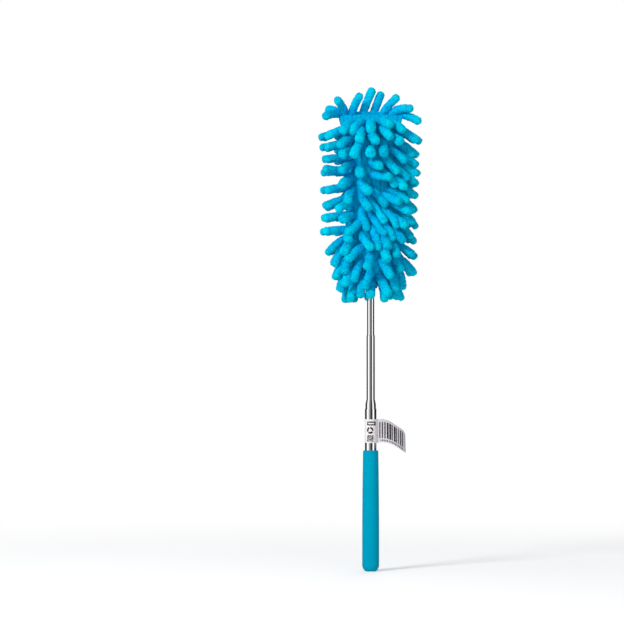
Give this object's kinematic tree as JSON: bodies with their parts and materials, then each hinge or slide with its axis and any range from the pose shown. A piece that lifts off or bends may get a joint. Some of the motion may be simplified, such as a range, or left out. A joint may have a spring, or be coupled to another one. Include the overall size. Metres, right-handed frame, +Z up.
{
  "type": "telescopic duster",
  "caption": "Chenille duster head with a bendable wire core on a telescopic steel pole whose sections slide and swivel, with a soft closed-end grip and a label on the pole.",
  "frame": {"origin": "centre of the grip's flat closed end, on the pole's axis", "axes": "+Z up the pole from the grip to the head; X along the head's flat top seam, with the label's flag on the +X side"},
  "size_m": [0.1238, 0.1184, 0.5716],
  "materials": {
    "grip": "matte foam rubber, fine grain",
    "pole_1": "polished stainless steel",
    "pole_2": "polished stainless steel",
    "pole_3": "polished stainless steel",
    "pole_4": "polished stainless steel",
    "pole_5": "polished stainless steel",
    "end_plug": "moulded",
    "label": null,
    "rings": "natural nylon",
    "socket": "moulded",
    "rivet": "plain steel",
    "wire": "drawn wire",
    "foam": "open-cell foam",
    "chenille": "microfibre chenille noodles on knitted cloth",
    "cord": "twisted cord"
  },
  "bodies": {
    "handle": {"grip_sleeve": "grip", "pole_tube_1": "pole_1", "pole_end_plug": "end_plug", "barcode_label": "label"},
    "ring_2": {"friction_ring_2": "rings"},
    "section_2": {"pole_tube_2": "pole_2"},
    "ring_3": {"friction_ring_3": "rings"},
    "section_3": {"pole_tube_3": "pole_3"},
    "ring_4": {"friction_ring_4": "rings"},
    "section_4": {"pole_tube_4": "pole_4"},
    "ring_5": {"friction_ring_5": "rings"},
    "head": {"pole_tube_5": "pole_5", "head_socket": "socket", "socket_rivet": "rivet", "core_wire": "wire", "foam_pad_front": "foam", "foam_pad_back": "foam", "chenille_sleeve": "chenille", "neck_tie_cord": "cord"}
  },
  "joints": [
    {"name": "extend_2", "type": "slide", "parent": "handle", "child": "ring_2", "axis": [0, 0, 1], "range_m": [0, 0.16]},
    {"name": "swivel_2", "type": "hinge", "parent": "ring_2", "child": "section_2", "pos_m": [0, 0, 0.03], "axis": [0, 0, 1], "continuous": true},
    {"name": "extend_3", "type": "slide", "parent": "section_2", "child": "ring_3", "axis": [0, 0, 1], "range_m": [0, 0.1575]},
    {"name": "swivel_3", "type": "hinge", "parent": "ring_3", "child": "section_3", "pos_m": [0, 0, 0.04], "axis": [0, 0, 1], "continuous": true},
    {"name": "extend_4", "type": "slide", "parent": "section_3", "child": "ring_4", "axis": [0, 0, 1], "range_m": [-0.0745, 0.0765]},
    {"name": "swivel_4", "type": "hinge", "parent": "ring_4", "child": "section_4", "pos_m": [0, 0, 0.12], "axis": [0, 0, 1], "continuous": true},
    {"name": "extend_5", "type": "slide", "parent": "section_4", "child": "ring_5", "axis": [0, 0, 1], "range_m": [-0.056, 0.0805]},
    {"name": "swivel_5", "type": "hinge", "parent": "ring_5", "child": "head", "pos_m": [0, 0, 0.195], "axis": [0, 0, 1], "continuous": true}
  ]
}
